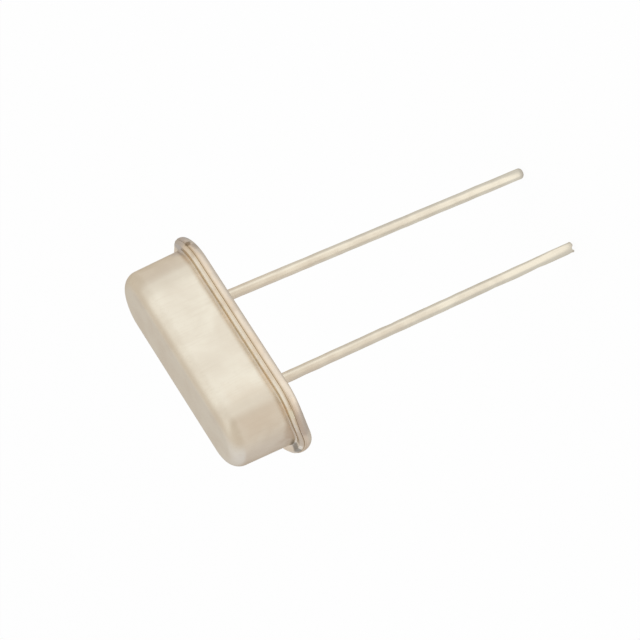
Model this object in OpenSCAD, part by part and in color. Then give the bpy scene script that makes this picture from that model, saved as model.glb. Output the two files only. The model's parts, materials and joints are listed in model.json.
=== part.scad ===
// Low-profile quartz crystal unit: a drawn metal can welded to a base with two leads, over a quartz strip.
//
// Frame: the origin is the centre of the base's underside, which is the seating plane. +X runs along the
// can, +Z up through its closed end, and the leads run down along -Z. The left side is the -X side.

/* [Can] */
// Outer length of the can at the foot of its wall
can_length = 10.65; // [9.6:0.05:12]
// Outer width of the can at the foot of its wall
can_width = 3.46; // [3.2:0.02:4.6]
// Height of the can's closed end above the seating plane
can_height = 3.46; // [3.1:0.02:5]
// Thickness of the sheet that the can is drawn from
can_sheet = 0.15; // [0.12:0.01:0.25]
// Outer radius between the wall and the closed end
crown_radius = 0.66; // [0.4:0.02:0.9]
// Inward slope of the drawn wall, in degrees
draft_angle = 1.2; // [0:0.1:3]
// Outer radius between the wall and the can's flange
foot_radius = 0.1; // [0.06:0.01:0.3]
// Reach of the can's flange beyond the foot of the wall
can_flange_reach = 0.47; // [0.38:0.01:0.7]
// Edge rounding of the can's flange
can_flange_rounding = 0.05; // [0.02:0.005:0.055]

/* [Base] */
// Thickness of the base's flange
base_flange_thickness = 0.46; // [0.3:0.01:0.6]
// Reach of the base's flange past the can's flange
base_flange_step = 0.04; // [0:0.01:0.1]
// Edge rounding of the base's flange
base_flange_rounding = 0.13; // [0.03:0.01:0.14]
// Height of the base's raised middle above the seating plane
platform_height = 0.95; // [0.75:0.01:1.1]
// Edge rounding of the raised middle
platform_rounding = 0.1; // [0.02:0.01:0.2]
// Gap between the raised middle and the can's inside wall
platform_clearance = 0.12; // [0.05:0.01:0.3]

/* [Glass seals] */
// Radius of the glass seal round each lead
seal_radius = 0.8; // [0.6:0.02:1.1]
// Depth of the dish in the seal's two faces
seal_dish = 0.06; // [0.02:0.01:0.12]
// Flat land at both edges of the dish
seal_land = 0.04; // [0.02:0.01:0.08]

/* [Leads] */
// Distance between the two leads at the base
lead_pitch = 4.88; // [4.6:0.02:5.2]
// Radius of a lead
lead_radius = 0.255; // [0.15:0.005:0.3]
// Length of a lead below the seating plane
lead_length = 15.8; // [4:0.1:26]
// Stretch below the seating plane at which a lead starts to lean
lean_start = 0.15; // [0.1:0.05:0.5]
// Bend radius where the lean starts
lean_bend_radius = 4; // [1:0.5:8]
// Lean of the left lead away from -Z, in degrees
left_lean_angle = 2.7; // [0:0.1:5]
// Direction in which the left lead leans, in degrees from +X
left_lean_heading = 12; // [0:1:360]
// Lean of the right lead away from -Z, in degrees
right_lean_angle = 1; // [0:0.1:5]
// Direction in which the right lead leans, in degrees from +X
right_lean_heading = 10; // [0:1:360]
// Rounding of the left lead's end
left_tip_rounding = 0.14; // [0.02:0.01:0.14]
// Slant of the cut across the right lead's end, in degrees
right_tip_angle = 6; // [0:1:30]
// Radius of the nail head inside the can
head_radius = 0.42; // [0.32:0.01:0.5]
// Thickness of the nail head
head_thickness = 0.12; // [0.08:0.01:0.2]
// Gap between the glass seal and the nail head
head_gap = 0.08; // [0.04:0.01:0.15]

/* [Spring clips] */
// Thickness of the clip's spring sheet
clip_sheet = 0.1; // [0.06:0.01:0.14]
// Width of the clip across the can
clip_width = 1.6; // [1.2:0.05:2]
// Inner radius of the clip's bends
clip_bend_radius = 0.1; // [0.05:0.01:0.14]
// Reach of the clip's foot inwards from the lead's axis
clip_foot_reach = 0.45; // [0.3:0.05:0.8]
// Rise of the shelf's upper face above the lead's nail head
shelf_rise = 0.85; // [0.6:0.01:1]
// Length of the shelf under the blank's end
shelf_length = 1; // [0.8:0.05:1.2]
// Height of the end stop above the shelf
stop_height = 0.35; // [0.28:0.01:0.6]
// Width of the relief slot in the clip's riser
relief_width = 0.6; // [0.3:0.05:0.9]
// Height of the relief slot in the clip's riser
relief_height = 0.35; // [0.15:0.01:0.4]

/* [Quartz blank] */
// Length of the quartz strip
blank_length = 8; // [7.4:0.05:8.6]
// Width of the quartz strip
blank_width = 2; // [1.5:0.05:2.4]
// Thickness of the quartz strip
blank_thickness = 0.2; // [0.1:0.01:0.3]
// Gap between the strip's end and the clip's end stop
blank_end_gap = 0.1; // [0.05:0.01:0.2]
// Gap between the strip and the clip's shelf, filled with adhesive
bond_gap = 0.05; // [0.03:0.005:0.08]

/* [Electrodes] */
// Length of an electrode's pad
pad_length = 4.2; // [3:0.1:5]
// Width of an electrode's pad
pad_width = 1.4; // [1:0.05:1.5]
// Corner radius of an electrode's pad
pad_corner_radius = 0.25; // [0.1:0.05:0.45]
// Width of the tab from the pad to the strip's end
tab_width = 0.7; // [0.4:0.05:0.9]
// Thickness of the electrode's metal film
film = 0.02; // [0.01:0.005:0.025]

/* [Adhesive] */
// Radius of an adhesive dome where it meets the shelf
adhesive_radius = 0.62; // [0.5:0.01:0.75]
// Height of an adhesive dome above the shelf
adhesive_height = 0.44; // [0.4:0.01:0.6]
// Distance of a dome's centre from the strip's end
adhesive_inset = 0.35; // [0.2:0.01:0.45]

/* [Hidden] */

$fn = 64;
// Length by which a cutting shape runs past what it cuts
past = 1;
// Length by which the free stretch of a lead laps into its bend, so that the two are one solid
lap = 0.0005;
// How far a rounding arc crosses the straight edges that it is tangent to, so that it meets them cleanly
crossing = 0.00002;
LEFT = -1;
RIGHT = 1;

// Heights above the seating plane
seam_height = base_flange_thickness;
ceiling_height = can_height - can_sheet;
head_height = platform_height + head_gap;
foot_height = head_height + head_thickness;
shelf_height = foot_height + shelf_rise;
blank_height = shelf_height + bond_gap;
blank_top = blank_height + blank_thickness;

// Distance between the centres of a stadium's round ends, which the can and the base share
end_span = can_length - can_width;
// Distances outwards from the line between those centres
can_flange_edge = can_width / 2 + can_flange_reach;
base_flange_edge = can_flange_edge + base_flange_step;
platform_edge = cavity_edge(platform_height) - platform_clearance;

// Distances along +X on the right side, which the left side mirrors
lead_x = lead_pitch / 2;
blank_end = blank_length / 2;
stop_x = blank_end + blank_end_gap;
riser_x = stop_x - shelf_length;

// Distance of the wall's outer face from the centre line at a height
function wall_edge(height) = can_width / 2 - (height - seam_height) * tan(draft_angle);

// Distance of the wall's inner face from the centre line at a height
function cavity_edge(height) = wall_edge(height) - can_sheet / cos(draft_angle);

// Unit vector at an angle in the plane
function unit(angle) = [cos(angle), sin(angle)];

// Radius of the circle that spans a chord with a given rise
function arc_radius(chord, rise) = (chord * chord / 4 + rise * rise) / (2 * rise);

// What lies between a corner and the arc that rounds it. The corner's edges leave it at two headings, and
// the shape runs a little past the corner, so that it cuts or fills cleanly.
module spandrel(corner, from_heading, to_heading, radius) {
    half = (to_heading - from_heading) / 2;
    inward = unit(from_heading + half);
    reach = radius / tan(half);
    centre = corner + inward * radius / sin(half);
    difference() {
        polygon([
            centre,
            corner + reach * unit(from_heading),
            corner - inward * radius / 4,
            corner + reach * unit(to_heading)
        ]);
        translate(centre) circle(radius + crossing);
    }
}

// A solid with a stadium outline, from its half section: turned round both ends and drawn straight between
module stadium_solid() {
    for (side = [LEFT, RIGHT])
        translate([side * end_span / 2, 0, 0])
            rotate([0, 0, -side * 90])
                rotate_extrude(angle = 180)
                    children();
    translate([-end_span / 2, 0, 0])
        rotate([90, 0, 90])
            linear_extrude(end_span) {
                children();
                mirror([1, 0]) children();
            }
}

// Half section of a drawn wall with its closed end, as a filled shape
module drawn_section(edge_at_seam, edge_at_top, top, corner_radius) {
    difference() {
        polygon([
            [0, seam_height],
            [edge_at_seam, seam_height],
            [edge_at_top, top],
            [0, top]
        ]);
        spandrel([edge_at_top, top], 180, 270 + draft_angle, corner_radius);
    }
}

module can_section() {
    flange_top = seam_height + can_sheet;
    difference() {
        union() {
            drawn_section(wall_edge(seam_height), wall_edge(can_height), can_height, crown_radius);
            difference() {
                translate([0, seam_height]) square([can_flange_edge, can_sheet]);
                spandrel([can_flange_edge, flange_top], 180, 270, can_flange_rounding);
                spandrel([can_flange_edge, seam_height], 90, 180, can_flange_rounding);
            }
            spandrel([wall_edge(flange_top), flange_top], 0, 90 + draft_angle, foot_radius);
        }
        drawn_section(
            cavity_edge(seam_height),
            cavity_edge(ceiling_height),
            ceiling_height,
            crown_radius - can_sheet
        );
        spandrel([cavity_edge(seam_height), seam_height], 0, 90 + draft_angle, foot_radius + can_sheet);
    }
}

module can() {
    color("tan") stadium_solid() can_section();
}

module base_section() {
    difference() {
        union() {
            square([base_flange_edge, base_flange_thickness]);
            square([platform_edge, platform_height]);
        }
        spandrel([base_flange_edge, 0], 90, 180, base_flange_rounding);
        spandrel([base_flange_edge, base_flange_thickness], 180, 270, base_flange_rounding);
        spandrel([platform_edge, platform_height], 180, 270, platform_rounding);
    }
}

module base() {
    color("tan") difference() {
        stadium_solid() base_section();
        for (side = [LEFT, RIGHT])
            translate([side * lead_x, 0, -past])
                cylinder(r = seal_radius, h = platform_height + 2 * past);
    }
}

// The glass between a lead and its hole, with both faces dished as the glass settled
module glass_seal(side) {
    chord = seal_radius - lead_radius - 2 * seal_land;
    dish_radius = arc_radius(chord, seal_dish);
    dish_centre = (seal_radius + lead_radius) / 2;
    color("darkslategray") translate([side * lead_x, 0, 0]) rotate_extrude() difference() {
        translate([lead_radius, 0]) square([seal_radius - lead_radius, platform_height]);
        translate([dish_centre, seal_dish - dish_radius]) circle(dish_radius);
        translate([dish_centre, platform_height - seal_dish + dish_radius]) circle(dish_radius);
    }
}

// A lead: nail head, straight stretch through the seal, soft bend, and the leaning stretch, whose end is
// shaped by the children, drawn with the end's centre at the origin
module lead(side, lean, heading) {
    bend_drop = lean_bend_radius * sin(lean);
    bend_shift = lean_bend_radius * (1 - cos(lean));
    free_length = (lead_length - lean_start - bend_drop) / cos(lean);
    // the drop in two steps, a round one and the rest, so that the bend and the free stretch meet exactly
    round_drop = floor(bend_drop * 1000) / 1000;
    color("tan") translate([side * lead_x, 0, 0]) {
        translate([0, 0, head_height]) cylinder(r = head_radius, h = head_thickness);
        translate([0, 0, -lean_start]) {
            cylinder(r = lead_radius, h = lean_start + head_height);
            rotate([0, 0, heading]) {
                if (lean > 0)
                    translate([lean_bend_radius, 0, 0])
                        rotate([90, 0, 0])
                            rotate_extrude(angle = lean, start = 180)
                                translate([lean_bend_radius, 0]) circle(lead_radius);
                translate([0, 0, -round_drop]) translate([bend_shift, 0, round_drop - bend_drop])
                    rotate([0, -lean, 0]) difference() {
                        translate([0, 0, -free_length]) cylinder(r = lead_radius, h = free_length + lap);
                        translate([0, 0, -free_length]) children();
                    }
            }
        }
    }
}

module lead_left() {
    lead(LEFT, left_lean_angle, left_lean_heading)
        rotate_extrude() spandrel([lead_radius, 0], 90, 180, left_tip_rounding);
}

module lead_right() {
    lead(RIGHT, right_lean_angle, right_lean_heading)
        translate([lead_radius, 0, 0])
            rotate([0, right_tip_angle, 0])
                translate([-2 * past, -past, -past])
                    cube([3 * past, 2 * past, past]);
}

// A quarter turn of bent sheet round the origin, in the quadrant that starts at the heading
module sheet_bend(heading) {
    outer_radius = clip_bend_radius + clip_sheet;
    rotate(heading) intersection() {
        difference() {
            circle(outer_radius);
            circle(clip_bend_radius);
        }
        square(outer_radius);
    }
}

// Side profile of the right clip in X and Z: foot, riser, shelf and end stop, with a bend between each
module clip_profile() {
    bend_depth = clip_bend_radius + clip_sheet;
    foot_start = lead_x - clip_foot_reach;
    riser_start = riser_x - clip_sheet;
    shelf_underside = shelf_height - clip_sheet;
    // foot
    translate([foot_start, foot_height])
        square([riser_start - clip_bend_radius - foot_start, clip_sheet]);
    translate([riser_start - clip_bend_radius, foot_height + bend_depth]) sheet_bend(270);
    // riser
    translate([riser_start, foot_height + bend_depth])
        square([clip_sheet, shelf_height - foot_height - 2 * bend_depth]);
    translate([riser_x + clip_bend_radius, shelf_height - bend_depth]) sheet_bend(90);
    // shelf
    translate([riser_x + clip_bend_radius, shelf_underside])
        square([stop_x - riser_x - 2 * clip_bend_radius, clip_sheet]);
    translate([stop_x - clip_bend_radius, shelf_height + clip_bend_radius]) sheet_bend(270);
    // end stop
    translate([stop_x, shelf_height + clip_bend_radius])
        square([clip_sheet, stop_height - clip_bend_radius]);
}

module spring_clip_right() {
    riser_middle = (foot_height + shelf_height) / 2;
    color("silver") difference() {
        translate([0, clip_width / 2, 0])
            rotate([90, 0, 0])
                linear_extrude(clip_width)
                    clip_profile();
        translate([riser_x - clip_sheet / 2, 0, riser_middle])
            cube([3 * clip_sheet, relief_width, relief_height], center = true);
    }
}

module spring_clip_left() {
    mirror([1, 0, 0]) spring_clip_right();
}

module quartz_blank() {
    color("lightcyan")
        translate([-blank_end, -blank_width / 2, blank_height])
            cube([blank_length, blank_width, blank_thickness]);
}

// A metal film on the strip: a pad with round corners in the middle, and a tab to the strip's end
module electrode(side) {
    straight_length = pad_length - 2 * pad_corner_radius;
    straight_width = pad_width - 2 * pad_corner_radius;
    color("gold") linear_extrude(film) {
        square([straight_length, pad_width], center = true);
        square([pad_length, straight_width], center = true);
        for (x = [-1, 1], y = [-1, 1])
            translate([x * straight_length / 2, y * straight_width / 2]) circle(pad_corner_radius);
        translate([side > 0 ? 0 : -blank_end, -tab_width / 2]) square([blank_end, tab_width]);
    }
}

module electrode_top() {
    translate([0, 0, blank_top]) electrode(RIGHT);
}

module electrode_bottom() {
    translate([0, 0, blank_height - film]) electrode(LEFT);
}

// Conductive adhesive that wraps the strip's end, fills the gap to the end stop and joins film to clip.
// It is drawn at the right end, round the strip, the clip and the film's tab that the children draw there.
module adhesive_dome() {
    dome_radius = arc_radius(2 * adhesive_radius, adhesive_height);
    bond_start = riser_x + clip_bend_radius;
    color("dimgray") difference() {
        intersection() {
            translate([blank_end - adhesive_inset, 0, shelf_height + adhesive_height - dome_radius])
                sphere(dome_radius);
            translate([bond_start, -past, shelf_height])
                cube([stop_x - bond_start, 2 * past, past]);
        }
        spring_clip_right();
        quartz_blank();
        children();
    }
}

module adhesive_right() {
    adhesive_dome() electrode_top();
}

module adhesive_left() {
    mirror([1, 0, 0]) adhesive_dome() mirror([1, 0, 0]) electrode_bottom();
}

can();
base();
glass_seal(LEFT);  // glass_seal_left
glass_seal(RIGHT);  // glass_seal_right
lead_left();
lead_right();
spring_clip_left();
spring_clip_right();
quartz_blank();
electrode_top();
electrode_bottom();
adhesive_left();
adhesive_right();
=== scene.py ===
"""Looks of a low two-lead quartz crystal unit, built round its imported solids.

Sizes are in millimetres, in the part's own frame: the origin is the centre of the base's underside, +X runs
along the can, +Z up through its closed end, and the leads run down along -Z. The left side is the -X side.
Meshes are made in those millimetres and become metres when a piece is finished.
"""

import json
import logging
import math
from abc import ABC, abstractmethod
from collections.abc import Sequence
from dataclasses import dataclass
from enum import Enum
from typing import Any, ClassVar

import bmesh
import bpy
from mathutils import Matrix, Vector, noise

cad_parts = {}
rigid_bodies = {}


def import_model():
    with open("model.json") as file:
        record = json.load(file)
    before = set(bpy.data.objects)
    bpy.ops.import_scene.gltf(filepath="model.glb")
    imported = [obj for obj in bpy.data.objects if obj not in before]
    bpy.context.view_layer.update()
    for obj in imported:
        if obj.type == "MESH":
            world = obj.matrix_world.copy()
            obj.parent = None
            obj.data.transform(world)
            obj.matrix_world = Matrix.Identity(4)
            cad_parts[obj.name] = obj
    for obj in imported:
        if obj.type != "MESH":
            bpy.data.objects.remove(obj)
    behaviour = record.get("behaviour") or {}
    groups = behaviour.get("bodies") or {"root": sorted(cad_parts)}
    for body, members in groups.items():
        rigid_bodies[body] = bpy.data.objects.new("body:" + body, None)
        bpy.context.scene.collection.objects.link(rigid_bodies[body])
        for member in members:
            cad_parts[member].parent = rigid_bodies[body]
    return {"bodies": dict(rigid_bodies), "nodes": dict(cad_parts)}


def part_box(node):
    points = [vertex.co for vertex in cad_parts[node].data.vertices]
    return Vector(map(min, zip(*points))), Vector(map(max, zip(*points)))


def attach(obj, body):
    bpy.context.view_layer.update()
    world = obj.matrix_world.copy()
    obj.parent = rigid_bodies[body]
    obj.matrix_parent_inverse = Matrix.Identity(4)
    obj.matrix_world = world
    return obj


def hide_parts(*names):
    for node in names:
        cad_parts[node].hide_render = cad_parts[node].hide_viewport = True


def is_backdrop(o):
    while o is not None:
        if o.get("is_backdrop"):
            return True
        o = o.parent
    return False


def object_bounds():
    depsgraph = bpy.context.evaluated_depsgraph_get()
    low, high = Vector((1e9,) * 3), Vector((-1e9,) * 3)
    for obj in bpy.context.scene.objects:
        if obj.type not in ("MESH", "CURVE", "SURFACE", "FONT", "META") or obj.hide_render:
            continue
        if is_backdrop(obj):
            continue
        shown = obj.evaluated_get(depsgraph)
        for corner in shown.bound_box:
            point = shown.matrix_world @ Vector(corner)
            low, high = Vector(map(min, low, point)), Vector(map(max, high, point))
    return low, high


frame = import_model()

MM = 0.001
BODY = "root"
CREASE = math.radians(32)  # an edge that turns more than this stays sharp
MIDDLE = 0.02  # where a section starts and ends, just off the centre line
LOG = logging.getLogger("crystal_unit")

Pair = tuple[float, float]
Triple = tuple[float, float, float]
Colour = Triple
WHITE: Colour = (1.0, 1.0, 1.0)


class Side(Enum):
    """The end of the can that a paired piece belongs to, as the nodes' names give it."""

    LEFT = "left"
    RIGHT = "right"


class Tip(Enum):
    """How the free end of a lead was left."""

    ROUNDED = "rounded"
    CUT = "cut"


def display(red: int, green: int, blue: int) -> Colour:
    """Turns a colour as a screen shows it into the linear colour that shaders take.

    Args:
        red: Red from 0 to 255.
        green: Green from 0 to 255.
        blue: Blue from 0 to 255.

    Returns:
        The linear red, green and blue, from 0 to 1.
    """
    shares = (value / 255 for value in (red, green, blue))
    return tuple(part / 12.92 if part <= 0.04045 else ((part + 0.055) / 1.055) ** 2.4 for part in shares)


def heading(degrees: float) -> Vector:
    """Unit vector in the board's plane, at an angle from +X."""
    return Vector((math.cos(math.radians(degrees)), math.sin(math.radians(degrees)), 0.0))


def aloft(azimuth: float, elevation: float) -> Vector:
    """Unit vector at an angle from +X in the board's plane and an angle above it."""
    tilt = math.radians(elevation)
    return heading(azimuth) * math.cos(tilt) + Vector((0, 0, math.sin(tilt)))


# ----------------------------------------
# Shader building


class Field:
    """A shader socket that takes part in arithmetic. Each operation adds a Math node and gives its result."""

    def __init__(self, graph: "Graph", socket: bpy.types.NodeSocket) -> None:
        """Wraps a socket of a graph."""
        self.graph = graph
        self.socket = socket

    def __add__(self, other: "Field | float") -> "Field":
        """Sum."""
        return self.graph.math("ADD", self, other)

    def __radd__(self, other: float) -> "Field":
        """Sum with a number on the left."""
        return self.graph.math("ADD", other, self)

    def __sub__(self, other: "Field | float") -> "Field":
        """Difference."""
        return self.graph.math("SUBTRACT", self, other)

    def __rsub__(self, other: float) -> "Field":
        """Difference from a number on the left."""
        return self.graph.math("SUBTRACT", other, self)

    def __mul__(self, other: "Field | float") -> "Field":
        """Product."""
        return self.graph.math("MULTIPLY", self, other)

    def __abs__(self) -> "Field":
        """Size without sign."""
        return self.graph.math("ABSOLUTE", self)

    def rising(self, low: float, high: float) -> "Field":
        """Smooth step.

        Args:
            low: The value at which the step starts.
            high: The value at which it ends. Below low, it makes the step a falling one.

        Returns:
            A field that is 0 before the step and 1 after it.
        """
        ends = (low, high, 0.0, 1.0) if low < high else (high, low, 1.0, 0.0)
        inputs = dict(zip(("From Min", "From Max", "To Min", "To Max"), ends), Value=self)
        return self.graph.node("ShaderNodeMapRange", {"interpolation_type": "SMOOTHSTEP"}, inputs)


class Graph:
    """The node tree of one material or of the world, filled from expressions."""

    def __init__(self, tree: bpy.types.NodeTree) -> None:
        """Empties a node tree and takes it over."""
        self.tree = tree
        tree.nodes.clear()

    def node(
        self,
        kind: str,
        settings: dict[str, Any] | None = None,
        inputs: dict[str | int, Any] | None = None,
        output: str | int = 0,
    ) -> Field:
        """Adds one node.

        Args:
            kind: The node's type.
            settings: Its own settings, set before its sockets.
            inputs: Its sockets by name or place, each with a value or a field to link.
            output: The output that is wanted, by name or place among those in use.

        Returns:
            The wanted output.
        """
        made = self.tree.nodes.new(kind)
        for name, value in (settings or {}).items():
            setattr(made, name, value)
        for name, value in (inputs or {}).items():
            socket = self._find(made.inputs, name)
            if isinstance(value, Field):
                self.tree.links.new(value.socket, socket)
            elif isinstance(value, tuple) and len(value) < len(socket.default_value):
                socket.default_value = (*value, 1.0)
            else:
                socket.default_value = value
        return Field(self, self._find(made.outputs, output))

    @staticmethod
    def _find(sockets: Any, name: str | int) -> bpy.types.NodeSocket:
        """The socket in use that has a name or a place."""
        shown = [socket for socket in sockets if socket.enabled]
        return shown[name] if isinstance(name, int) else next(s for s in shown if s.name == name)

    def math(self, operation: str, *values: Field | float) -> Field:
        """Adds a Math node on one or two values."""
        return self.node("ShaderNodeMath", {"operation": operation}, dict(enumerate(values)))

    def vector_math(self, operation: str, *values: Any, output: str = "Vector") -> Field:
        """Adds a Vector Math node on one or two values."""
        return self.node("ShaderNodeVectorMath", {"operation": operation}, dict(enumerate(values)), output)

    def mix(self, factor: Field | float, first: Field | Colour, second: Field | Colour) -> Field:
        """Blends two colours, from the first at 0 to the second at 1."""
        inputs = {"Factor": factor, "A": first, "B": second}
        return self.node("ShaderNodeMix", {"data_type": "RGBA"}, inputs, "Result")

    def position(self) -> Field:
        """The place on the piece in millimetres, in the part's own frame."""
        place = self.node("ShaderNodeTexCoord", output="Object")
        return self.vector_math("MULTIPLY", place, (1 / MM, 1 / MM, 1 / MM))

    def component(self, vector: Field, axis: str) -> Field:
        """One of X, Y and Z of a vector."""
        return self.node("ShaderNodeSeparateXYZ", inputs={"Vector": vector}, output=axis)

    def distance(self, place: Field, point: Sequence[float]) -> Field:
        """How far a place is from a fixed point."""
        return self.vector_math("DISTANCE", place, tuple(point), output="Value")

    def cloud(self, place: Field, size: float, detail: float = 2.0, warp: float = 0.0) -> Field:
        """Soft random patches of a width, from 0 to 1, mostly near a half. Warp pulls them out of shape."""
        inputs = {"Vector": place, "Scale": 1 / size, "Detail": detail, "Distortion": warp}
        return self.node("ShaderNodeTexNoise", inputs=inputs, output="Fac")

    def ragged(self, place: Field, size: float, depth: float) -> Field:
        """Soft random shifts about zero, which roughen a border."""
        return (self.cloud(place, size) - 0.5) * depth

    def streaks(self, place: Field, marks: Sequence[float], detail: float = 2.0) -> Field:
        """Soft random marks, from 0 to 1, with their own lengths along X, Y and Z."""
        return self.cloud(self.vector_math("DIVIDE", place, tuple(marks)), 1.0, detail)

    def bump(self, height: Field, depth: float) -> Field:
        """A normal from a height of 0 to 1 that is a depth in millimetres in full."""
        return self.node("ShaderNodeBump", inputs={"Strength": 1.0, "Distance": depth * MM, "Height": height})

    def principled(self, inputs: dict[str, Any]) -> Field:
        """The shader of every solid surface, from its sockets by name."""
        return self.node("ShaderNodeBsdfPrincipled", inputs=inputs)

    def finish(self, kind: str, shader: Field) -> None:
        """Adds an output node of a kind and links a shader to it."""
        made = self.tree.nodes.new(kind)
        self.tree.links.new(shader.socket, made.inputs["Surface"])


class Finish(ABC):
    """A surface finish that makes its own material once and hands it out."""

    name: str
    slot: str

    @abstractmethod
    def dress(self, graph: Graph) -> Field:
        """Adds the finish's nodes to a material's graph and gives its shader."""

    def material(self) -> bpy.types.Material:
        """Makes the finish's material when it is first asked for.

        Returns:
            The material.
        """
        known = bpy.data.materials.get(f"finish_{self.name}")
        if known:
            return known
        made = bpy.data.materials.new(f"finish_{self.name}")
        made.use_nodes = True
        graph = Graph(made.node_tree)
        graph.finish("ShaderNodeOutputMaterial", self.dress(graph))
        return made


class Mark(ABC):
    """A tint on a part of a plated piece."""

    tint: Colour
    strength: float

    @abstractmethod
    def cover(self, graph: Graph, place: Field) -> Field:
        """How much of a place the mark covers, from 0 to 1."""

    def over(self, graph: Graph, place: Field, tone: Field) -> Field:
        """The colour at a place when the mark lies over a tone."""
        return graph.mix(self.cover(graph, place) * self.strength, tone, self.tint)


@dataclass(frozen=True)
class StainAndPaintedLight(Mark):
    """A tint near one place: a real stain such as the heat mark of a weld, or a painted shade or painted
    highlight. It is full within a share of its radius.
    """

    centre: Triple
    radius: float
    tint: Colour
    strength: float
    full_share: float = 0.4

    def cover(self, graph: Graph, place: Field) -> Field:
        """How much of a place the stain covers, from 0 to 1."""
        distance = graph.distance(place, self.centre) + graph.ragged(place, self.radius / 2, self.radius)
        return distance.rising(self.radius, self.radius * self.full_share)


@dataclass(frozen=True)
class Band(Mark):
    """A tint that fades between two heights, such as a painted shade at the foot of a wall or a painted
    highlight along a ridge.
    """

    full: float
    gone: float
    tint: Colour
    strength: float = 1.0
    border: float = 0.03
    border_size: float = 0.3

    def cover(self, graph: Graph, place: Field) -> Field:
        """How much of a place the band covers, from 0 to 1."""
        height = graph.component(place, "Z") + graph.ragged(place, self.border_size, self.border)
        return height.rising(self.gone, self.full)


@dataclass(frozen=True)
class WallTurnShade(Mark):
    """A painted shade up the wall beside each round end, as far as the crown, where the wall begins to turn
    into the end.
    """

    centre: float
    width: float
    tint: Colour
    strength: float
    full: float = 3.1
    gone: float = 3.45
    border: float = 0.15
    border_size: float = 0.5

    def cover(self, graph: Graph, place: Field) -> Field:
        """How much of a place the painted shade covers.

        Args:
            graph: The material's graph.
            place: Where on the piece, in millimetres.

        Returns:
            The share, from 0 to 1.
        """
        along = abs(abs(graph.component(place, "X")) - self.centre)
        beside = along + graph.ragged(place, self.border_size, self.border)
        return beside.rising(self.width, 0.0) * graph.component(place, "Z").rising(self.gone, self.full)


@dataclass(frozen=True)
class Seam(Mark):
    """The welded seam: heat tint and ash on both flanges, and a darker line at the height where they meet."""

    height: float
    reach: float = 0.5
    full_reach: float = 0.175
    blush: Colour = display(250, 230, 204)
    blush_size: float = 0.75
    blush_warp: float = 0.6
    blush_edges: Pair = (0.44, 0.66)
    blush_strength: float = 0.5
    ash: Colour = display(216, 207, 196)
    ash_size: float = 0.55
    ash_warp: float = 0.4
    ash_edges: Pair = (0.5, 0.7)
    ash_strength: float = 0.3
    ash_shift: Triple = (7.0, 3.0, 5.0)
    tint: Colour = display(226, 208, 180)
    strength: float = 0.85
    line_width: float = 0.11
    line_core: float = 0.022
    border: float = 0.03
    border_size: float = 0.12

    def _away(self, graph: Graph, place: Field) -> Field:
        """How far a place is above or below the seam."""
        return abs(graph.component(place, "Z") - self.height)

    def cover(self, graph: Graph, place: Field) -> Field:
        """How much of a place the line covers, from 0 to 1."""
        beside = self._away(graph, place) + graph.ragged(place, self.border_size, self.border)
        return beside.rising(self.line_width, self.line_core)

    def over(self, graph: Graph, place: Field, tone: Field) -> Field:
        """Lays the heat tint, the ash and the line over a tone.

        Args:
            graph: The material's graph.
            place: Where on the piece, in millimetres.
            tone: The colour so far.

        Returns:
            The colour with the seam's tints.
        """
        near = self._away(graph, place).rising(self.reach, self.full_reach)
        warm = graph.cloud(place, self.blush_size, 3.0, self.blush_warp).rising(*self.blush_edges)
        shifted = graph.vector_math("ADD", place, self.ash_shift)
        cold = graph.cloud(shifted, self.ash_size, 3.0, self.ash_warp).rising(*self.ash_edges)
        tone = graph.mix(near * warm * self.blush_strength, tone, self.blush)
        tone = graph.mix(near * cold * self.ash_strength, tone, self.ash)
        return super().over(graph, place, tone)


@dataclass(frozen=True)
class Nickel(Finish):
    """Warm satin nickel plating with cloudy tone, fine drawing lines and a scatter of small specks."""

    name: str
    slot: str
    tone: Colour
    dull: Colour
    line_marks: Triple
    edge: Colour = display(226, 220, 210)
    roughness: float = 0.34
    cloud_size: float = 1.7
    cloud_edges: Pair = (0.36, 0.68)
    cloud_strength: float = 0.5
    cloud_roughness: float = 0.16
    line_edges: Pair = (0.5, 0.72)
    line_strength: float = 0.22
    line_roughness: float = 0.12
    line_depth: float = 0.0006
    speck_size: float = 0.09
    speck_edges: Pair = (0.66, 0.74)
    speck_strength: float = 0.25
    marks: tuple[Mark, ...] = ()
    droop: "EndDroop | None" = None

    def dress(self, graph: Graph) -> Field:
        """Adds the plating's nodes.

        Args:
            graph: The material's graph.

        Returns:
            The shader.
        """
        place = graph.position()
        clouds = graph.cloud(place, self.cloud_size, 3.0, 0.3)
        lines = graph.streaks(place, self.line_marks, 3.0)
        specks = graph.cloud(place, self.speck_size, 1.0)
        tone = graph.mix(clouds.rising(*self.cloud_edges) * self.cloud_strength, self.tone, self.dull)
        tone = graph.mix(lines.rising(*self.line_edges) * self.line_strength, tone, self.dull)
        tone = graph.mix(specks.rising(*self.speck_edges) * self.speck_strength, tone, self.dull)
        flat_place = self.droop.undone(graph, place) if self.droop else place
        for mark in self.marks:
            tone = mark.over(graph, flat_place, tone)
        uneven = (clouds - 0.5) * self.cloud_roughness + (lines - 0.5) * self.line_roughness
        return graph.principled({
            "Base Color": tone,
            "Metallic": 1.0,
            "Specular Tint": self.edge,
            "Roughness": self.roughness + uneven,
            "Normal": graph.bump(lines * 0.7 + specks * 0.3, self.line_depth),
        })


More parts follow.
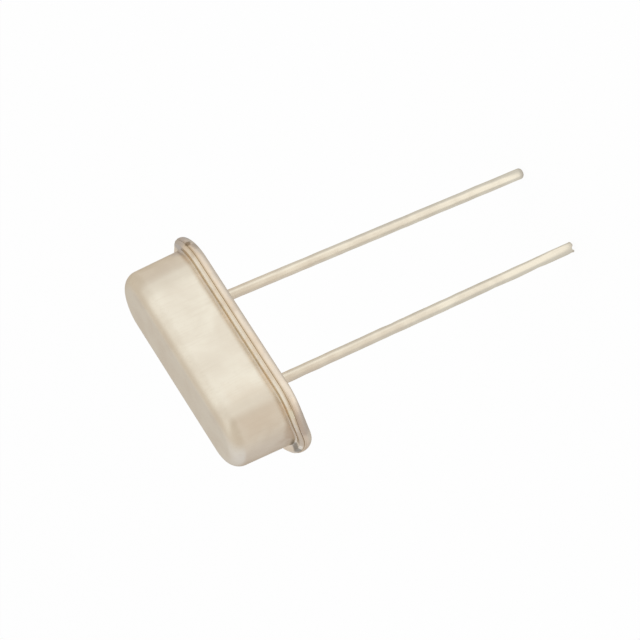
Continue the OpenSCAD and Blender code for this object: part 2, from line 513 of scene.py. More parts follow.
@dataclass(frozen=True)
class SealGlass(Finish):
    """Dark sealing glass, fused in its hole, with faint bubbles and a slightly uneven skin."""

    name: str = "seal_glass"
    slot: str = "seal_glass"
    body: Colour = display(38, 52, 54)
    deep: Colour = display(30, 40, 46)
    bubble: Colour = display(84, 102, 100)
    bubble_size: float = 0.07
    bubble_edges: Pair = (0.66, 0.74)
    bubble_strength: float = 0.8
    roughness: float = 0.08
    ripple_size: float = 0.4
    ripple_depth: float = 0.004
    ripple_roughness: float = 0.1

    def dress(self, graph: Graph) -> Field:
        """Adds the glass's nodes.

        Args:
            graph: The material's graph.

        Returns:
            The shader.
        """
        place = graph.position()
        bubbles = graph.cloud(place, self.bubble_size, 1.0).rising(*self.bubble_edges) * self.bubble_strength
        ripple = graph.cloud(place, self.ripple_size)
        return graph.principled({
            "Base Color": graph.mix(bubbles, graph.mix(ripple, self.body, self.deep), self.bubble),
            "Roughness": self.roughness + ripple * self.ripple_roughness,
            "IOR": 1.52,
            "Normal": graph.bump(ripple, self.ripple_depth),
        })


@dataclass(frozen=True)
class Quartz(Finish):
    """Lapped quartz: clear, with a fine frost from the lapping grit."""

    name: str = "quartz"
    slot: str = "quartz"
    clear: Colour = display(236, 242, 244)
    grey: Colour = display(222, 232, 236)
    cloud_size: float = 1.2
    roughness: float = 0.18
    frost_size: float = 0.03
    frost_depth: float = 0.0004
    frost_roughness: float = 0.2

    def dress(self, graph: Graph) -> Field:
        """Adds the quartz's nodes.

        Args:
            graph: The material's graph.

        Returns:
            The shader.
        """
        place = graph.position()
        frost = graph.cloud(place, self.frost_size)
        return graph.principled({
            "Base Color": graph.mix(graph.cloud(place, self.cloud_size), self.clear, self.grey),
            "Roughness": self.roughness + frost * self.frost_roughness,
            "IOR": 1.544,
            "Transmission Weight": 0.8,
            "Normal": graph.bump(frost, self.frost_depth),
        })


@dataclass(frozen=True)
class SilverFilm(Finish):
    """Evaporated silver: bright, with a faint cloud where the film is thinner."""

    name: str = "silver_film"
    slot: str = "electrode_film"
    bright: Colour = display(240, 239, 235)
    dull: Colour = display(222, 220, 214)
    cloud_size: float = 0.9
    cloud_edges: Pair = (0.4, 0.7)
    roughness: float = 0.14
    cloud_roughness: float = 0.12

    def dress(self, graph: Graph) -> Field:
        """Adds the film's nodes.

        Args:
            graph: The material's graph.

        Returns:
            The shader.
        """
        thin = graph.cloud(graph.position(), self.cloud_size)
        return graph.principled({
            "Base Color": graph.mix(thin.rising(*self.cloud_edges), self.bright, self.dull),
            "Metallic": 1.0,
            "Roughness": self.roughness + thin * self.cloud_roughness,
        })


@dataclass(frozen=True)
class SilverAdhesive(Finish):
    """Silver-filled adhesive: matt grey, grainy, with bright flakes."""

    name: str = "silver_adhesive"
    slot: str = "conductive_adhesive"
    dark: Colour = display(150, 148, 143)
    light: Colour = display(186, 184, 178)
    flake: Colour = display(226, 224, 218)
    metal: float = 0.25
    roughness: float = 0.72
    grain_size: float = 0.05
    grain_depth: float = 0.008
    flake_size: float = 0.02
    flake_edges: Pair = (0.62, 0.7)
    flake_metal: float = 0.6
    flake_shine: float = 0.3

    def dress(self, graph: Graph) -> Field:
        """Adds the adhesive's nodes.

        Args:
            graph: The material's graph.

        Returns:
            The shader.
        """
        place = graph.position()
        grain = graph.cloud(place, self.grain_size, 3.0)
        flakes = graph.cloud(place, self.flake_size, 0.0).rising(*self.flake_edges)
        return graph.principled({
            "Base Color": graph.mix(flakes, graph.mix(grain, self.dark, self.light), self.flake),
            "Metallic": self.metal + flakes * self.flake_metal,
            "Roughness": self.roughness - flakes * self.flake_shine,
            "Normal": graph.bump(grain, self.grain_depth),
        })


# ----------------------------------------
# Mesh building


@dataclass(frozen=True)
class Corner:
    """A corner of a section: its distance from the centre line, its height, and the radius that rounds it."""

    distance: float
    height: float
    radius: float = 0.0

    @property
    def point(self) -> Vector:
        """The corner as a point of the section."""
        return Vector((self.distance, self.height))


def rounded(corners: Sequence[Corner], arc_steps: int = 12, support: float = 0.025) -> list[Vector]:
    """Turns corners into an outline with arcs, and with a row close to each end of a straight stretch.

    Args:
        corners: The outline's corners in order. The first and last stay sharp.
        arc_steps: Steps in each arc.
        support: Distance of the extra rows from the ends of a straight stretch.

    Returns:
        The outline's points.
    """
    runs: list[list[Vector]] = []
    for place, corner in enumerate(corners):
        here = corner.point
        if not corner.radius or place in (0, len(corners) - 1):
            runs.append([here])
            continue
        before = (corners[place - 1].point - here).normalized()
        after = (corners[place + 1].point - here).normalized()
        half = before.angle(after) / 2
        reach = corner.radius / math.tan(half)
        centre = here + (before + after).normalized() * corner.radius / math.sin(half)
        start, end = here + before * reach - centre, here + after * reach - centre
        turn = start.angle_signed(end)
        turns = [Matrix.Rotation(-turn * step / arc_steps, 2) for step in range(arc_steps + 1)]
        runs.append([centre + part @ start for part in turns])
    points = list(runs[0])
    for run in runs[1:]:
        gap = run[0] - points[-1]
        if gap.length > 4 * support:
            points += [points[-1] + gap.normalized() * support, run[0] - gap.normalized() * support]
        points += run
    return points


@dataclass(frozen=True)
class Stadium:
    """The plan that the can and the base share: two round ends and the straight stretch between them."""

    half_span: float
    quarter_steps: int = 20
    straight_steps: int = 36

    def ring(self, distance: float, height: float) -> list[Vector]:
        """Points at one distance outwards from the line between the ends' centres.

        Args:
            distance: How far out.
            height: Height above the board.

        Returns:
            The points, turning left from the right end's tip.
        """
        def arc(side: int, first: float, steps: int) -> list[Vector]:
            """A stretch of a round end, a step at a time from an angle in quarter turns."""
            turns = [math.pi / 2 * (first + step / self.quarter_steps) for step in range(steps)]
            return [Vector((side * self.half_span + distance * math.cos(t), distance * math.sin(t), height))
                    for t in turns]

        def straight(way: int) -> list[Vector]:
            """The points between the round ends on one long side."""
            places = [1 - 2 * step / self.straight_steps for step in range(1, self.straight_steps)]
            return [Vector((way * self.half_span * place, way * distance, height)) for place in places]

        quarter = self.quarter_steps
        right, left = arc(1, 0, quarter + 1), arc(-1, 1, 2 * quarter + 1)
        return [*right, *straight(1), *left, *straight(-1), *arc(1, 3, quarter)]

    def outwards(self, place: Vector) -> Vector:
        """The level way to a place from the line between the ends' centres."""
        return Vector((place.x - max(-self.half_span, min(self.half_span, place.x)), place.y, 0.0))

    def loft(self, outline: Sequence[Vector]) -> bmesh.types.BMesh:
        """Sweeps an outline round the plan and closes both of its ends across.

        Args:
            outline: Distances and heights in order, all of them off the centre line.

        Returns:
            A closed mesh.
        """
        mesh = bmesh.new()
        rings = [[mesh.verts.new(co) for co in self.ring(point.x, point.y)] for point in outline]
        for inner, outer in zip(rings, rings[1:]):
            bridge(mesh, inner, outer)
        for ring in (rings[0], rings[-1]):
            count = len(ring)
            for step in range(count // 2):
                corners = [ring[step], ring[step + 1], ring[count - step - 1], ring[(count - step) % count]]
                mesh.faces.new(list(dict.fromkeys(corners)))
        bmesh.ops.recalc_face_normals(mesh, faces=mesh.faces)
        return mesh


def bridge(mesh: bmesh.types.BMesh, near: list[bmesh.types.BMVert], far: list[bmesh.types.BMVert]) -> None:
    """Joins two closed rings of as many points with four-sided faces."""
    for corners in zip(near, near[1:] + near[:1], far[1:] + far[:1], far):
        mesh.faces.new(corners)


def lathe(outline: Sequence[Vector], axis: Vector, steps: int) -> bmesh.types.BMesh:
    """Turns a closed outline round an upright axis.

    Args:
        outline: Radii and heights in order round the outline.
        axis: A point on the axis.
        steps: Steps in the full turn.

    Returns:
        A closed ring-shaped mesh.
    """
    mesh = bmesh.new()
    ways = [heading(360 * step / steps) for step in range(steps)]
    rings = []
    for point in outline:
        rings.append([mesh.verts.new(axis + way * point.x + Vector((0, 0, point.y))) for way in ways])
    for ring, following in zip(rings, [*rings[1:], rings[0]]):
        bridge(mesh, ring, following)
    bmesh.ops.recalc_face_normals(mesh, faces=mesh.faces)
    return mesh


def smooth_step(low: float, high: float, value: float) -> float:
    """A smooth rise from 0 at a low value to 1 at a high one."""
    share = min(1.0, max(0.0, (value - low) / (high - low)))
    return share * share * (3 - 2 * share)


def waver(place: Vector, size: float, depth: float) -> float:
    """A smooth random height at a place, in waves of a size and a depth, the same on every run."""
    return noise.noise(place / size) * depth


def add_object(name: str, data: bpy.types.ID | bmesh.types.BMesh) -> bpy.types.Object:
    """Adds an object to the scene.

    Args:
        name: Its name.
        data: What it shows. A mesh that is still being edited is used up.

    Returns:
        The object.
    """
    if isinstance(data, bmesh.types.BMesh):
        edited, data = data, bpy.data.meshes.new(name)
        edited.to_mesh(data)
        edited.free()
    made = bpy.data.objects.new(name, data)
    bpy.context.scene.collection.objects.link(made)
    return made


def finish_piece(name: str, mesh: bmesh.types.BMesh, finish: Finish, node: str) -> bpy.types.Object:
    """Turns a mesh in millimetres into a dressed piece that stands for a node of the frame.

    Args:
        name: The piece's name.
        mesh: The mesh, which is used up.
        finish: Its surface.
        node: The node that it replaces.

    Returns:
        The piece.
    """
    bmesh.ops.scale(mesh, vec=(MM, MM, MM), verts=mesh.verts)
    piece = add_object(name, mesh)
    piece.data.shade_smooth()
    piece.data.set_sharp_from_angle(angle=CREASE)
    piece.data.materials.append(finish.material())
    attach(piece, BODY)
    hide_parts(node)
    LOG.info("%s: %d faces, stands for %s, finish %s", name, len(piece.data.polygons), node, finish.name)
    return piece


# ----------------------------------------
# The part


def packed_box(node: str) -> tuple[Vector, Vector]:
    """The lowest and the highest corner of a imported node, in millimetres."""
    low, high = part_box(node)
    return low / MM, high / MM


@dataclass(frozen=True)
class EndDroop:
    """How the tips of both flanges hang a little low, pressed down at the ends of the weld."""

    depth: float = 0.21
    front_width: float = 0.9
    back_width: float = 1.4
    start: float = 4.2
    end: float = 5.3
    hold: float = 0.66
    fade: float = 1.6

    def lower(self, mesh: bmesh.types.BMesh) -> None:
        """Lowers the tips of a mesh.

        Args:
            mesh: The can's or the base's mesh, in millimetres.
        """
        for vert in mesh.verts:
            along = smooth_step(self.start, self.end, abs(vert.co.x))
            width = self.front_width if vert.co.y > 0 else self.back_width
            across = math.exp(-(vert.co.y / width) ** 2)
            vert.co.z -= self.depth * along * across * (1 - smooth_step(self.hold, self.fade, vert.co.z))

    def undone(self, graph: Graph, place: Field) -> Field:
        """Where a place would be without the droop, so that marks follow the bent metal.

        Args:
            graph: The material's graph.
            place: Where on the piece, in millimetres.

        Returns:
            The place on the flat piece.
        """
        along = abs(graph.component(place, "X")).rising(self.start, self.end)
        aside = graph.component(place, "Y")
        front = graph.math("MAXIMUM", aside, 0.0) * (1 / self.front_width)
        back = graph.math("MINIMUM", aside, 0.0) * (1 / self.back_width)
        across = graph.math("EXPONENT", (front * front + back * back) * -1.0)
        height = graph.component(place, "Z").rising(self.fade, self.hold) * along * across * self.depth
        return graph.vector_math("ADD", place, graph.node("ShaderNodeCombineXYZ", inputs={"Z": height}))


@dataclass
class StadiumPiece:
    """A piece with the package's plan, which takes its place and overall size from the frame."""

    node: ClassVar[str]

    def __post_init__(self) -> None:
        """Reads the node's box."""
        low, high = packed_box(self.node)
        self.bottom, self.top, self.edge = low.z, high.z, high.y
        self.plan = Stadium(high.x - high.y)


@dataclass
class Can(StadiumPiece):
    """The drawn metal cup: closed end, drafted wall, and a flange turned out at its foot."""

    node: ClassVar[str] = "can"
    sheet: float = 0.15
    crown_radius: float = 0.66
    draft: float = 1.2
    foot_radius: float = 0.1
    mouth_radius: float = 0.25
    flange_reach: float = 0.47
    ridge_width: float = 0.13
    ridge_rise: float = 0.025
    ridge_drop: float = 0.1
    ridge_rounding: float = 0.08
    edge_rounding: float = 0.05
    seam_rounding: float = 0.02
    wave_depth: float = 0.008
    wave_size: float = 1.9
    wave_rise: float = 0.5
    still_middle: float = 0.1

    def _wall(self, height: float) -> float:
        """Distance of the wall's outer face from the centre line at a height."""
        return self.edge - self.flange_reach - (height - self.bottom) * math.tan(math.radians(self.draft))

    def inside(self, height: float) -> float:
        """Distance of the wall's inner face from the centre line at a height."""
        return self._wall(height) - self.sheet / math.cos(math.radians(self.draft))

    def _corners(self) -> list[Corner]:
        """Lays out the can's section.

        Returns:
            Its corners, from the middle of the closed end's outer face round to its inner face.
        """
        shelf = self.bottom + self.sheet
        ceiling = self.top - self.sheet
        return [
            Corner(MIDDLE, self.top),
            Corner(self._wall(self.top), self.top, self.crown_radius),
            Corner(self._wall(shelf), shelf, self.foot_radius),
            Corner(self.edge - self.ridge_width, shelf + self.ridge_rise, self.ridge_rounding),
            Corner(self.edge, shelf - self.ridge_drop, self.edge_rounding),
            Corner(self.edge, self.bottom, self.seam_rounding),
            Corner(self.inside(self.bottom), self.bottom, self.mouth_radius),
            Corner(self.inside(ceiling), ceiling, self.crown_radius - self.sheet),
            Corner(MIDDLE, ceiling),
        ]

    def _wave(self, mesh: bmesh.types.BMesh) -> None:
        """Gives the sheet slight waves above its foot. The middle of the closed end stays flat.

        Args:
            mesh: The can's mesh, in millimetres.
        """
        foot = self.bottom + self.sheet + self.foot_radius
        for vert in mesh.verts:
            outwards = self.plan.outwards(vert.co)
            if vert.co.z > foot and outwards.length > self.still_middle:
                rise = min(1.0, (vert.co.z - foot) / self.wave_rise)
                vert.co += outwards.normalized() * waver(vert.co, self.wave_size, self.wave_depth) * rise

    def build(self, finish: Finish, droop: EndDroop) -> bpy.types.Object:
        """Builds and dresses the can.

        Args:
            finish: Its plating.
            droop: How its tips hang low.

        Returns:
            The piece.
        """
        mesh = self.plan.loft(rounded(self._corners()))
        self._wave(mesh)
        droop.lower(mesh)
        return finish_piece("can_shell", mesh, finish, self.node)


@dataclass
class Base(StadiumPiece):
    """The stamped base: a flange, the raised middle that fits in the can, and a hole for each glass seal."""

    node: ClassVar[str] = "base"
    can: Can
    seam_rounding: float = 0.08
    flange_rounding: float = 0.3
    platform_clearance: float = 0.12
    platform_rounding: float = 0.1

    def _corners(self) -> list[Corner]:
        """Lays out the base's section.

        Returns:
            Its corners, from the middle of the underside round to the middle of the upper face.
        """
        seam = self.can.bottom
        platform_edge = self.can.inside(self.top) - self.platform_clearance
        return [
            Corner(MIDDLE, self.bottom),
            Corner(self.edge, self.bottom, self.flange_rounding),
            Corner(self.edge, seam, self.seam_rounding),
            Corner(platform_edge, seam),
            Corner(platform_edge, self.top, self.platform_rounding),
            Corner(MIDDLE, self.top),
        ]

    def build(self, finish: Finish, droop: EndDroop, seals: Sequence["GlassSeal"]) -> bpy.types.Object:
        """Builds and dresses the base.

        Args:
            finish: Its plating.
            droop: How its tips hang low.
            seals: What its holes are for.

        Returns:
            The piece.
        """
        mesh = self.plan.loft(rounded(self._corners()))
        droop.lower(mesh)
        piece = finish_piece("base_plate", mesh, finish, self.node)
        cutters = [seal.cutter() for seal in seals]
        for cutter in cutters:
            cut = piece.modifiers.new("hole", "BOOLEAN")
            cut.operation, cut.solver, cut.object = "DIFFERENCE", "EXACT", cutter
        drilled = piece.evaluated_get(bpy.context.evaluated_depsgraph_get())
        solid = bpy.data.meshes.new_from_object(drilled)
        piece.modifiers.clear()
        piece.data = solid
        solid.set_sharp_from_angle(angle=CREASE)
        for cutter in cutters:
            bpy.data.objects.remove(cutter)
        return piece


@dataclass
class GlassSeal:
    """The glass between a lead and its hole, dished in both faces where it crept up the metal."""

    side: Side
    lead_radius: float = 0.255
    dish: float = 0.06
    land: float = 0.04
    dish_steps: int = 14
    sides: int = 72
    cutter_length: float = 4.0

    def __post_init__(self) -> None:
        """Takes the seal's place and size from the frame."""
        self.node = f"glass_seal_{self.side.value}"
        low, high = packed_box(self.node)
        self.centre = Vector(((low.x + high.x) / 2, 0, 0))
        self.radius = (high.x - low.x) / 2
        self.bottom, self.top = low.z, high.z

    def cutter(self) -> bpy.types.Object:
        """Makes a plain cylinder that cuts the seal's hole right through the base.

        Returns:
            The cylinder.
        """
        mesh = bmesh.new()
        size = {"radius1": self.radius * MM, "radius2": self.radius * MM, "depth": self.cutter_length * MM}
        place = Matrix.Translation(self.centre * MM)
        bmesh.ops.create_cone(mesh, cap_ends=True, segments=self.sides, matrix=place, **size)
        return add_object("hole_cutter", mesh)

    def _face(self, level: float, inwards: int) -> list[Vector]:
        """Lays out one dished face.

        Args:
            level: Height of its rims.
            inwards: 1 where the dish goes up into the glass, or -1 where it goes down.

        Returns:
            Its radii and heights, outwards from the lead.
        """
        first, last = self.lead_radius + self.land, self.radius - self.land
        points = [Vector((self.lead_radius, level))]
        for step in range(self.dish_steps + 1):
            share = step / self.dish_steps
            depth = self.dish * 4 * share * (1 - share)
            points.append(Vector((first + (last - first) * share, level + inwards * depth)))
        return [*points, Vector((self.radius, level))]

    def build(self, finish: Finish) -> bpy.types.Object:
        """The seal, built and dressed."""
        mesh = lathe(self._face(self.bottom, 1) + self._face(self.top, -1)[::-1], self.centre, self.sides)
        return finish_piece(f"seal_{self.side.value}", mesh, finish, self.node)


@dataclass(frozen=True)
class Dent:
    """A small flat that a forming tool left on a lead."""

    before_tip: float
    way: float
    depth: float
    length: float

    def at(self, to_tip: float, way: float) -> float:
        """The dent's depth at a distance from the tip and in a direction round the lead, from +X."""
        along = math.exp(-((to_tip - self.before_tip) / self.length) ** 2)
        return self.depth * along * max(0.0, math.cos(math.radians(way - self.way))) ** 3


@dataclass
class Lead:
    """A wire lead: nail head, straight stretch through the glass, soft bend, and free stretch that leans."""

    side: Side
    lean: float
    lean_way: float
    tip: Tip
    dents: tuple[Dent, ...] = ()
    reach: float = 15.8
    radius: float = 0.255
    head_radius: float = 0.42
    head_thickness: float = 0.12
    head_rounding: float = 0.03
    head_steps: int = 5
    lean_start: float = 0.15
    bend_radius: float = 4.0
    wave_size: float = 0.65
    wave_depth: float = 0.012
    tip_rounding: float = 0.18
    tip_steps: int = 8
    cut_way: float = -25.0
    slant: float = 2.0
    short_cut: float = 0.07
    notch_depth: float = 0.15
    notch_width: float = 0.08
    notch_offset: float = 0.07
    cut_edge: tuple[Pair, ...] = ((1.0, 0.035), (0.99, 0.012))
    cut_face: tuple[float, ...] = (0.96, 0.85, 0.65, 0.45, 0.25)
    ring_gap: float = 0.12
    sides: int = 48

    def __post_init__(self) -> None:
        """Takes the lead's place and length from the frame."""
        self.node = f"lead_{self.side.value}"
        self.axis = GlassSeal(self.side).centre
        self.head_top = packed_box(self.node)[1].z
        angle = math.radians(self.lean)
        drop = self.bend_radius * math.sin(angle)
        self.free = (self.reach - self.lean_start - drop) / math.cos(angle)
        self.upright = self.head_top + self.lean_start
        self.bend = self.bend_radius * angle
        self.length = self.upright + self.bend + self.free
        self.turns = [math.tau * step / self.sides for step in range(self.sides)]

    def _station(self, run: float) -> tuple[Vector, Vector, Vector, Vector]:
        """Finds the lead's centre line at a distance along it from the head's face.

        Args:
            run: Distance along the lead.

        Returns:
            The centre, the two directions across, and the direction along.
        """
        toward, across = heading(self.lean_way), heading(self.lean_way + 90)
        down = Vector((0, 0, -1))
        if run <= self.upright:
            return self.axis + Vector((0, 0, self.head_top - run)), toward, across, down
        turned = min(run - self.upright, self.bend) / self.bend_radius
        along = toward * math.sin(turned) + down * math.cos(turned)
        centre = (self.axis + down * (self.lean_start + self.bend_radius * math.sin(turned))
                  + toward * self.bend_radius * (1 - math.cos(turned)))
        centre += along * max(0.0, run - self.upright - self.bend)
        return centre, toward * math.cos(turned) - down * math.sin(turned), across, along

    def _runs(self) -> list[Pair]:
        """Lays out the lead's rings.

        Returns:
            Distances along the lead from its head's face, each with the lead's radius there.
        """
        small = self.head_rounding
        quarter = [math.pi / 2 * step / self.head_steps for step in range(self.head_steps + 1)]
        head = [(small * (1 - math.cos(t)), self.head_radius - small * (1 - math.sin(t))) for t in quarter]
        foot = [(self.head_thickness - run, size) for run, size in reversed(head)]
        stretch = self.length - self.head_thickness - self.tip_rounding
        count = round(stretch / self.ring_gap)
        body = [(self.head_thickness + stretch * step / count, self.radius) for step in range(count + 1)]
        if self.tip is Tip.CUT:
            return [*head, *foot, *body]
        over = [math.pi / 2 * step / self.tip_steps for step in range(1, self.tip_steps + 1)]
        tip = [(self.length - self.tip_rounding * (1 - math.sin(t)),
                self.radius - self.tip_rounding * (1 - math.cos(t))) for t in over]
        return [*head, *foot, *body, *tip]

    def _ring(self, run: float, size: float) -> list[Vector]:
        """Lays out one ring of the lead's skin, with its slight waves and dents.

        Args:
            run: Distance along the lead from its head's face.
            size: The plain radius there.

        Returns:
            The ring's points.
        """
        centre, toward, across, _ = self._station(run)
        points = []
        for turn in self.turns:
            way = toward * math.cos(turn) + across * math.sin(turn)
            reach = size
            if run > self.upright:
                reach += waver(centre + way * self.radius + self.axis, self.wave_size, self.wave_depth)
                turned = math.degrees(turn) + self.lean_way
                reach -= sum(dent.at(self.length - run, turned) for dent in self.dents)
            points.append(centre + way * reach)
        return points

    def _cut_tip(self) -> list[list[Vector]]:
        """Lays out a free end that was cut: a blunt edge, and a face with a burr's notch.

        Returns:
            Its rings, inwards.
        """
        centre, toward, across, along = self._station(self.length)
        rings = []
        for share, edge in (*self.cut_edge, *((share, 0.0) for share in self.cut_face)):
            flats = [(toward * math.cos(turn) + across * math.sin(turn)) * self.radius * share
                     for turn in self.turns]
            rings.append([centre + flat - along * (self._shortfall(flat) + edge) for flat in flats])
        return rings

    def _shortfall(self, flat: Vector) -> float:
        """Works out how far the cut end stops short of the lead's full length at a place across it.

        Args:
            flat: The place, from the lead's axis.

        Returns:
            The distance.
        """
        beside = flat.dot(heading(self.cut_way))
        cut = self.short_cut + math.tan(math.radians(self.slant)) * (self.radius - beside)
        return cut + self.notch_depth * math.exp(-((beside - self.notch_offset) / self.notch_width) ** 2)

    def build(self, finish: Finish) -> bpy.types.Object:
        """Builds and dresses the lead.

        Args:
            finish: Its plating.

        Returns:
            The piece.
        """
        mesh = bmesh.new()
        rows = [self._ring(run, size) for run, size in self._runs()]
        if self.tip is Tip.CUT:
            rows += self._cut_tip()
        rings = [[mesh.verts.new(point) for point in row] for row in rows]
        for first, second in zip(rings, rings[1:]):
            bridge(mesh, first, second)
        for ring in (rings[0], rings[-1]):
            mesh.faces.new(ring)
        bmesh.ops.recalc_face_normals(mesh, faces=mesh.faces)
        return finish_piece(f"{self.node}_wire", mesh, finish, self.node)


@dataclass
class Inside:
    """What the can holds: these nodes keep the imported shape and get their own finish."""

    finishes: dict[str, Finish]

    def dress(self) -> None:
        """Gives every inner node its material."""
        for node, finish in self.finishes.items():
            data = frame["nodes"][node].data
            data.materials.clear()
            data.materials.append(finish.material())
            LOG.info("%s: packed shape, finish %s", node, finish.name)


# ----------------------------------------
# The studio


def ray(graph: Graph, *kinds: str) -> Field:
    """1 for rays of the kinds named, such as "Glossy", and 0 for the rest."""
    found = [graph.node("ShaderNodeLightPath", output=f"Is {kind} Ray") for kind in kinds]
    return graph.math("MINIMUM", sum(found[1:], found[0]), 1.0)


@dataclass(frozen=True)
class Tent:
    """The white surroundings as metal and glass see them: a bright sheet in front, and softer sides."""

    azimuth: float = 113.0
    sheet: Colour = WHITE
    side: Colour = (0.72, 0.66, 0.615)
    back: Colour = (0.61, 0.565, 0.56)
    back_turn: Pair = (-0.95, -0.1)
    zenith: float = 0.75
    zenith_rise: Pair = (-0.3, 0.5)
    sheet_edges: Pair = (0.46, 0.2)
    sheet_end: Pair = (-0.35, 0.7)

    def tone(self, graph: Graph, direction: Field) -> Field:
        """Works out the colour of the surroundings in a direction.

        Args:
            graph: The graph of the world or of the floor.
            direction: The direction from the part, of any length.

        Returns:
            The colour.
        """
        unit = graph.vector_math("NORMALIZE", direction)
        forward, sideways = (
            graph.vector_math("DOT_PRODUCT", unit, tuple(heading(azimuth)), output="Value")
            for azimuth in (self.azimuth, self.azimuth - 90)
        )
        around = graph.mix(forward.rising(*self.back_turn), self.back, self.side)
        in_sheet = abs(sideways).rising(*self.sheet_edges) * forward.rising(*self.sheet_end)
        overhead = graph.component(unit, "Z").rising(*self.zenith_rise)
        return graph.mix(in_sheet * (1 - overhead * (1 - self.zenith)), around, self.sheet)


@dataclass(frozen=True)
class FloorPaper(Finish):
    """White paper: it shows as plain white from above and keeps the object's soft shadow."""

    name: str = "floor_paper"
    slot: str = ""
    glow: float = 0.94
    paper: Colour = (0.95, 0.95, 0.95)
    middle: Triple = (0.0, 0.0, 16.0)
    level: float = -15.9
    tent: Tent = Tent()
    near_tent: Tent = Tent(
        azimuth=75.0, sheet=(1.08, 1.08, 1.08), side=(0.64, 0.655, 0.675), back=(0.72, 0.735, 0.76),
        sheet_edges=(0.98, 0.66), sheet_end=(-0.4, 0.1),
    )
    near_edges: Pair = (48.0, 36.0)

    def dress(self, graph: Graph) -> Field:
        """Adds the paper's nodes.

        Args:
            graph: The material's graph.

        Returns:
            The shader.
        """
        lit = graph.node("ShaderNodeBsdfDiffuse", inputs={"Color": self.paper}, output="BSDF")
        place = graph.position()
        level_with = (0.0, 0.0, self.level)
        far = self.tent.tone(graph, graph.vector_math("SUBTRACT", place, self.middle))
        near = self.near_tent.tone(graph, graph.vector_math("SUBTRACT", place, level_with))
        closeness = graph.distance(place, level_with).rising(*self.near_edges)
        seen = graph.mix(ray(graph, "Glossy"), WHITE, graph.mix(closeness, far, near))
        white = graph.node("ShaderNodeEmission", inputs={"Color": seen, "Strength": 1.0})
        share = ray(graph, "Camera", "Glossy", "Transmission") * self.glow
        sheet = graph.node("ShaderNodeMixShader", inputs={0: share, 1: lit, 2: white})
        below = graph.node("ShaderNodeNewGeometry", output="Backfacing")
        clear = graph.node("ShaderNodeBsdfTransparent")
        return graph.node("ShaderNodeMixShader", inputs={0: below, 1: sheet, 2: clear})


@dataclass(frozen=True)
class Softbox:
    """A square soft lamp that points at the middle of the part. Metal doesn't mirror the lamp itself."""

    name: str
    azimuth: float
    elevation: float
    distance: float
    size: float
    radiance: float

    def place(self, middle: Vector) -> None:
        """Sets the lamp up.

        Args:
            middle: The point that it lights, in millimetres.
        """
        lamp = bpy.data.lights.new(self.name, "AREA")
        lamp.shape, lamp.size = "SQUARE", self.size * MM
        lamp.energy = self.radiance * math.pi * (self.size * MM) ** 2
        way = aloft(self.azimuth, self.elevation)
        holder = add_object(self.name, lamp)
        holder.location = (middle + way * self.distance) * MM
        holder.rotation_euler = way.to_track_quat("Z", "Y").to_euler()
        holder.visible_glossy = False


@dataclass(frozen=True)
class Viewpoint:
    """The camera: where it stands round the part, how it is turned, and its lens."""

    azimuth: float
    elevation: float
    roll: float
    distance: float
    aim: Triple
    lens: float

    def place(self) -> None:
        """Sets the camera up and makes it the scene's own."""
        camera = add_object("camera", bpy.data.cameras.new("camera"))
        camera.data.lens = self.lens
        camera.data.clip_start, camera.data.clip_end = 0.01, 10.0
        back = aloft(self.azimuth, self.elevation)
        right = Vector((0, 0, 1)).cross(back).normalized()
        level = Matrix((right, back.cross(right), back)).transposed()
        turned = level @ Matrix.Rotation(math.radians(self.roll), 3, "Z")
        spot = (Vector(self.aim) + back * self.distance) * MM
        camera.matrix_world = Matrix.Translation(spot) @ turned.to_4x4()
        bpy.context.scene.camera = camera


@dataclass
class Studio:
    """White surroundings, a paper floor under the lead tips, soft lamps and the camera."""

    lamps: tuple[Softbox, ...]
    viewpoint: Viewpoint
    tent: Tent = Tent(side=(0.65, 0.595, 0.54), back=(0.745, 0.755, 0.815), zenith=0.79)
    ambient: float = 0.8
    floor_size: float = 3000.0
    floor_gap: float = 0.05

    def _world(self) -> None:
        """Makes the surroundings white to look at, and a plain soft light otherwise."""
        world = bpy.data.worlds.new("white_surroundings")
        world.use_nodes = True
        bpy.context.scene.world = world
        graph = Graph(world.node_tree)
        direction = graph.node("ShaderNodeTexCoord", output="Generated")
        seen = graph.mix(ray(graph, "Glossy"), WHITE, self.tent.tone(graph, direction))
        strength = self.ambient + ray(graph, "Camera", "Glossy", "Transmission") * (1 - self.ambient)
        sky = graph.node("ShaderNodeBackground", inputs={"Color": seen, "Strength": strength})
        graph.finish("ShaderNodeOutputWorld", sky)

    def _floor(self, level: float) -> None:
        """Lays the paper floor.

        Args:
            level: Its height, in millimetres.
        """
        half = self.floor_size / 2 * MM
        signs = ((-1, -1), (1, -1), (1, 1), (-1, 1))
        corners = [(x * half, y * half, level * MM) for x, y in signs]
        data = bpy.data.meshes.new("floor")
        data.from_pydata(corners, [], [(0, 1, 2, 3)])
        data.materials.append(FloorPaper().material())
        add_object("floor", data)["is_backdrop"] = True

    def build(self, low: Vector, high: Vector) -> None:
        """Sets up the whole studio.

        Args:
            low: The part's lowest corner, in metres.
            high: The part's highest corner, in metres.
        """
        self._world()
        self._floor(low.z / MM - self.floor_gap)
        for lamp in self.lamps:
            lamp.place((low + high) / 2 / MM)
        self.viewpoint.place()
        bpy.context.scene.view_settings.view_transform = "Standard"


# ----------------------------------------
# Putting it together


def clear_strays() -> None:
    """Removes what a new file holds beside the frame."""
    known = {*frame["nodes"].values(), *frame["bodies"].values()}
    for stray in [thing for thing in bpy.data.objects if thing not in known]:
        bpy.data.objects.remove(stray)


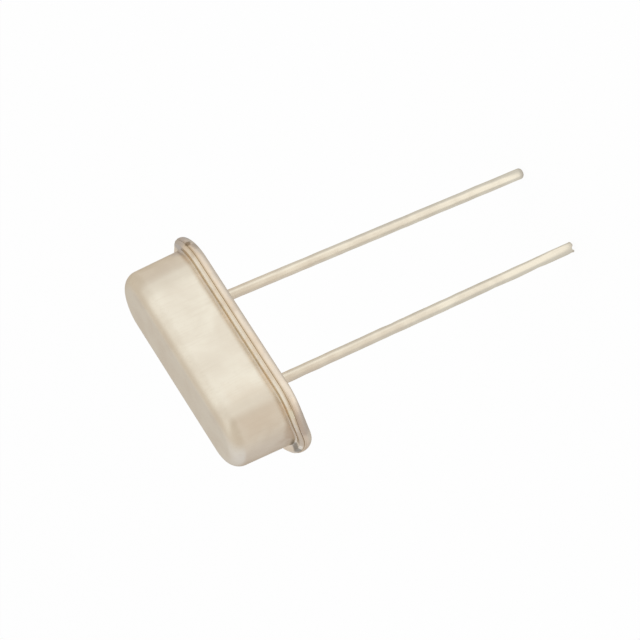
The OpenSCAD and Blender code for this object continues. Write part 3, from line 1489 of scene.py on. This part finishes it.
def main() -> None:
    """Builds every piece in order, dresses it, and sets up the studio."""
    logging.basicConfig(level=logging.INFO, format="%(name)s %(message)s")
    clear_strays()
    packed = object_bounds()

    droop = EndDroop()
    can = Can()
    base = Base(can)
    seals = [GlassSeal(side) for side in Side]
    seam_marks = (
        Seam(can.bottom),
        StainAndPaintedLight((-5.3, 1.25, 0.4), 1.0, display(216, 211, 207), 0.9),
        StainAndPaintedLight((-4.66, 1.97, 0.38), 0.2, display(150, 134, 112), 0.8),
    )
    can_plating = Nickel(
        "can_plating", "can_metal", display(247, 240, 223), display(233, 222, 204),
        line_marks=(0.09, 0.09, 2.4), droop=droop,
        marks=(
            # painted shade on the wall where it turns into the right round end
            StainAndPaintedLight((3.8, 1.6, 1.9), 1.7, display(230, 214, 192), 0.5),
            # painted shade up the wall where it turns into each round end
            WallTurnShade(3.6, 0.75, display(224, 214, 196), 0.62),
            # painted shade in the valley at the wall's foot, above the flange
            Band(0.66, 0.94, display(212, 197, 174)),
            # painted highlight along the can flange's ridge
            Band(0.62, 0.67, display(255, 248, 232)),
            *seam_marks,
            # painted shade in the valley between wall and flange at the back of the right end
            StainAndPaintedLight((5.45, -0.6, 0.6), 0.45, display(134, 130, 122), 0.75),
            StainAndPaintedLight((5.55, 0.55, 0.6), 0.95, display(218, 202, 180), 0.9),
            # painted glint on the can flange near the right end
            StainAndPaintedLight((4.93, 1.72, 0.6), 0.3, display(255, 250, 228), 0.9),
        ),
    )
    base_plating = Nickel(
        "base_plating", "base_metal", display(250, 237, 218), display(236, 221, 203),
        line_marks=(0.5, 0.5, 0.05), cloud_size=0.9, speck_strength=0.4, roughness=0.42, droop=droop,
        marks=(
            # painted shade towards the underside of the base's rounded edge
            Band(0.14, 0.34, display(206, 192, 178), 0.2, 0.08),
            *seam_marks,
            StainAndPaintedLight((-4.4, 2.1, 0.1), 0.35, display(188, 172, 156), 0.6),
            StainAndPaintedLight((5.3, 1.3, 0.2), 0.9, display(212, 196, 180), 0.8),
        ),
    )
    wire_plating = Nickel(
        "wire_plating", "lead_wire", display(250, 241, 221), display(232, 221, 202),
        line_marks=(0.05, 0.05, 0.9), cloud_size=0.8, roughness=0.32,
        marks=(Band(-15.75, -15.5, display(206, 194, 178), 0.6, 0.1),),
    )
    spring_plating = Nickel(
        "spring_plating", "spring_sheet", display(206, 203, 198), display(180, 177, 172),
        line_marks=(1.2, 0.04, 1.2),
    )
    glass, film, quartz, adhesive = SealGlass(), SilverFilm(), Quartz(), SilverAdhesive()

    can.build(can_plating, droop)
    base.build(base_plating, droop, seals)
    for seal in seals:
        seal.build(glass)
    lower_side = -24.0
    dents = (
        Dent(2.0, lower_side, 0.03, 0.35),
        Dent(4.3, lower_side, 0.02, 0.3),
        Dent(9.6, lower_side + 180, 0.015, 0.3),
        Dent(0.1, lower_side, 0.03, 0.2),
    )
    Lead(Side.LEFT, 2.7, 12.0, Tip.ROUNDED).build(wire_plating)
    Lead(Side.RIGHT, 1.0, 10.0, Tip.CUT, dents).build(wire_plating)
    Inside({
        "spring_clip_left": spring_plating, "spring_clip_right": spring_plating, "quartz_blank": quartz,
        "electrode_top": film, "electrode_bottom": film,
        "adhesive_left": adhesive, "adhesive_right": adhesive,
    }).dress()

    Studio(
        lamps=(
            Softbox("front_softbox", 112.0, 34.0, 260.0, 220.0, 0.5),
            Softbox("high_softbox", 60.0, 65.0, 300.0, 260.0, 0.4),
        ),
        viewpoint=Viewpoint(65.20, 18.05, -115.23, 161.9, (0.216, -0.860, -3.884), 201.4),
    ).build(*packed)


if __name__ == "__main__":
    main()
